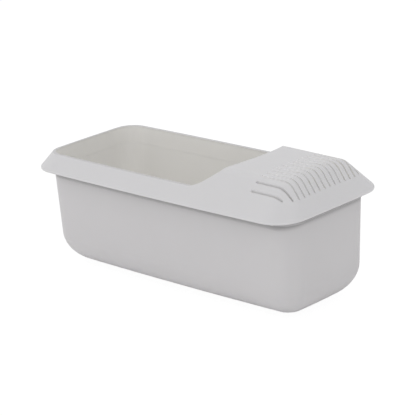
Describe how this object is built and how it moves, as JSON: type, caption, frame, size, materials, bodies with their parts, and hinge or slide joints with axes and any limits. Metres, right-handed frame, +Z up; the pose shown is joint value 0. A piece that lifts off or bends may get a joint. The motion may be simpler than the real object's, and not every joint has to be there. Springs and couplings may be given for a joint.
{
  "type": "food box with strainer collar",
  "caption": "Tapered rectangular plastic food box with a lift-off sloped collar that has an open pouring mouth and a raised, slotted straining bridge at one end.",
  "frame": {"origin": "centre of the underside, which is the centre of the box's plan at the surface it stands on", "axes": "+X along the box towards the strainer bridge, +Y across it, +Z up"},
  "size_m": [0.29, 0.135, 0.12],
  "materials": {
    "container_plastic": "satin moulded polypropylene, pale warm grey",
    "collar_plastic": "satin moulded polypropylene, pale grey"
  },
  "bodies": {
    "container": {"container": "container_plastic"},
    "collar": {"strainer_collar": "collar_plastic"}
  },
  "joints": [
    {"name": "collar_lift", "type": "slide", "parent": "container", "child": "collar", "axis": [0, 0, 1], "range_m": [0, 0.06]}
  ]
}
